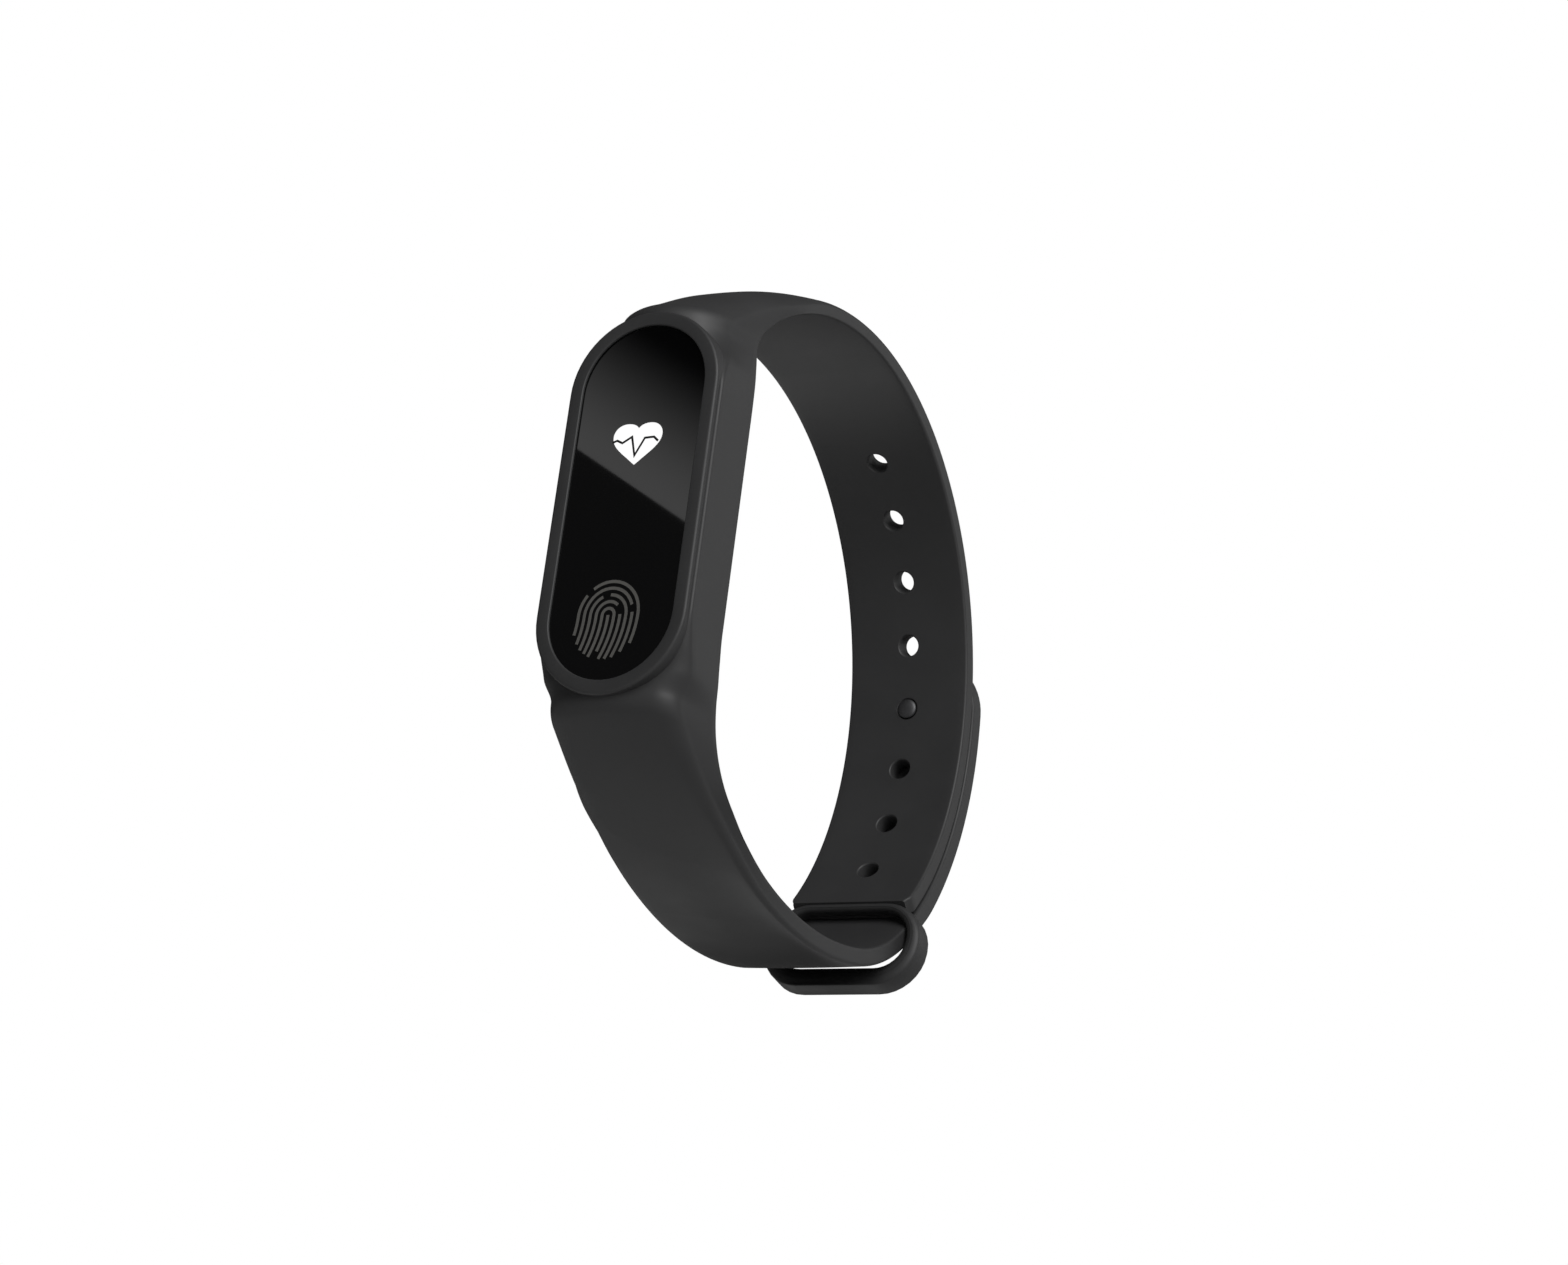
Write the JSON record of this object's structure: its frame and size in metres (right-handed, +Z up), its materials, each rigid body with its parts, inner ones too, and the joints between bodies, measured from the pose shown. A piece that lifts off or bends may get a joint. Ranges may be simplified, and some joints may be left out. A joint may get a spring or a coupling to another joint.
{
  "type": "fitness tracker band",
  "caption": "Closed silicone wristband with a punched arm, keeper ring and snap stud, holding a lift-out tracker capsule with a stadium-shaped touch screen.",
  "frame": {"origin": "bottom centre of the bounding box, under the middle of the closed loop", "axes": "+X across the strap's width, -Y out of the screen, +Z up along the capsule's length"},
  "size_m": [0.0192, 0.0733, 0.0715],
  "materials": {
    "silicone": "soft moulded black silicone, satin",
    "case": "fine matt moulded black",
    "lens": "polished, black printed behind",
    "mask": "printed black film",
    "display": "polished dark glass",
    "tape": "double-sided tape",
    "holder": "moulded natural white",
    "flex": "amber polyimide film",
    "board": "green solder mask",
    "chip": "moulded epoxy",
    "ceramic": "fired ceramic",
    "copper": "enamelled copper",
    "gold": "gold plated",
    "steel": "drawn and plated",
    "stud": "black anodised",
    "weight": "sintered tungsten",
    "pouch": "laminated foil pouch",
    "window": "smoked clear plastic",
    "led": "clear epoxy over green die"
  },
  "bodies": {
    "band": {"wristband": "silicone", "housing_lip": "silicone"},
    "tail": {"strap_tail": "silicone", "stud_cap": "stud", "stud_pin": "stud"},
    "capsule": {"capsule_case": "case", "front_lens": "lens", "lens_adhesive": "tape", "lens_mask": "mask", "display_panel": "display", "display_holder": "holder", "display_flex": "flex", "touch_electrode": "copper", "touch_contact": "gold", "main_board": "board", "processor_chip": "chip", "power_chip": "chip", "motion_sensor_chip": "chip", "clock_crystal": "steel", "bluetooth_antenna": "ceramic", "battery_cell": "pouch", "battery_guard_board": "board", "battery_tape": "tape", "sensor_board": "board", "photodiode": "chip", "sensor_leds": "led", "light_barrier": "mask", "sensor_flex": "flex", "sensor_window": "window", "charge_contacts": "gold", "motor_can": "steel", "motor_bush": "copper", "motor_magnet": "weight"},
    "rotor": {"motor_coil": "copper", "motor_shaft": "steel", "motor_weight": "weight"}
  },
  "joints": [
    {"name": "tail_peel", "type": "hinge", "parent": "band", "child": "tail", "pos_m": [0, 0.03448, 0.02296], "axis": [-1, 0, 0], "range_deg": [0, 75], "stiffness_Nm_per_rad": 0.004},
    {"name": "capsule_pull", "type": "slide", "parent": "band", "child": "capsule", "axis": [0, -1, 0], "range_m": [0, 0.014], "deforming": ["housing_lip"]},
    {"name": "motor_spin", "type": "hinge", "parent": "capsule", "child": "rotor", "pos_m": [-0.0004, -0.0307, 0.0239], "axis": [1, 0, 0], "continuous": true}
  ]
}
